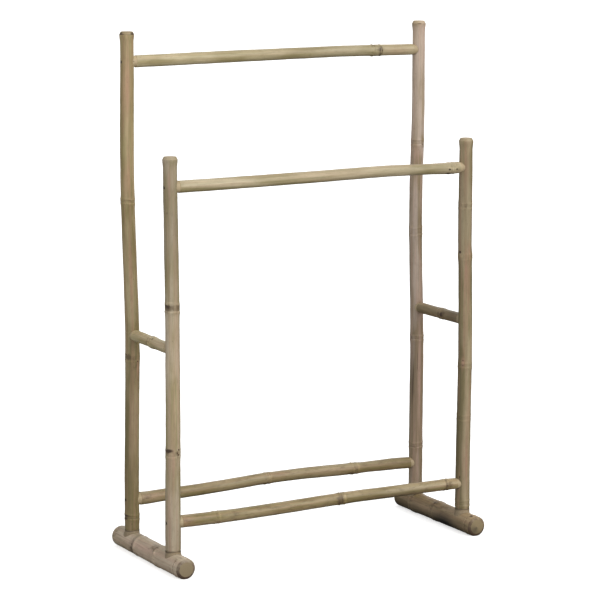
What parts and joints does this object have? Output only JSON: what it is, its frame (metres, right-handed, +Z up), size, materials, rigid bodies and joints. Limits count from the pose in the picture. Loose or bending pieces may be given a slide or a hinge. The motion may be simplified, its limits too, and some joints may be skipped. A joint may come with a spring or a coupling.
{
  "type": "towel rack",
  "caption": "Free-standing bamboo towel rack: a tall rear frame and a short front frame, each with a towel rail and a stretcher, joined by side rungs on two thick feet.",
  "frame": {"origin": "on the floor under the middle of the rack", "axes": "+X across the rack along the towel rails, +Y towards the tall rear frame, +Z up"},
  "size_m": [0.6138, 0.26, 0.9],
  "materials": {
    "foot_bamboo": "satin varnished bamboo",
    "post_bamboo": "satin varnished bamboo",
    "rail_bamboo": "satin varnished bamboo",
    "stretcher_bamboo": "satin varnished bamboo",
    "rung_bamboo": "satin varnished bamboo",
    "filler": "satin varnished glue and wood dust",
    "dowel_wood": "raw softwood",
    "screw_steel": "dull darkened steel"
  },
  "bodies": {
    "root": {"left_foot": "foot_bamboo", "right_foot": "foot_bamboo", "left_rear_post": "post_bamboo", "right_rear_post": "post_bamboo", "left_front_post": "post_bamboo", "right_front_post": "post_bamboo", "rear_towel_rail": "rail_bamboo", "front_towel_rail": "rail_bamboo", "rear_stretcher": "stretcher_bamboo", "front_stretcher": "stretcher_bamboo", "left_side_rung": "rung_bamboo", "right_side_rung": "rung_bamboo", "rear_rail_dowels": "dowel_wood", "front_rail_dowels": "dowel_wood", "rear_stretcher_dowels": "dowel_wood", "front_stretcher_dowels": "dowel_wood", "rung_dowels": "dowel_wood", "post_dowels": "dowel_wood", "rail_screws": "screw_steel", "stretcher_screws": "screw_steel", "rung_screws": "screw_steel", "foot_screws": "screw_steel", "post_collars": "filler"}
  },
  "joints": []
}
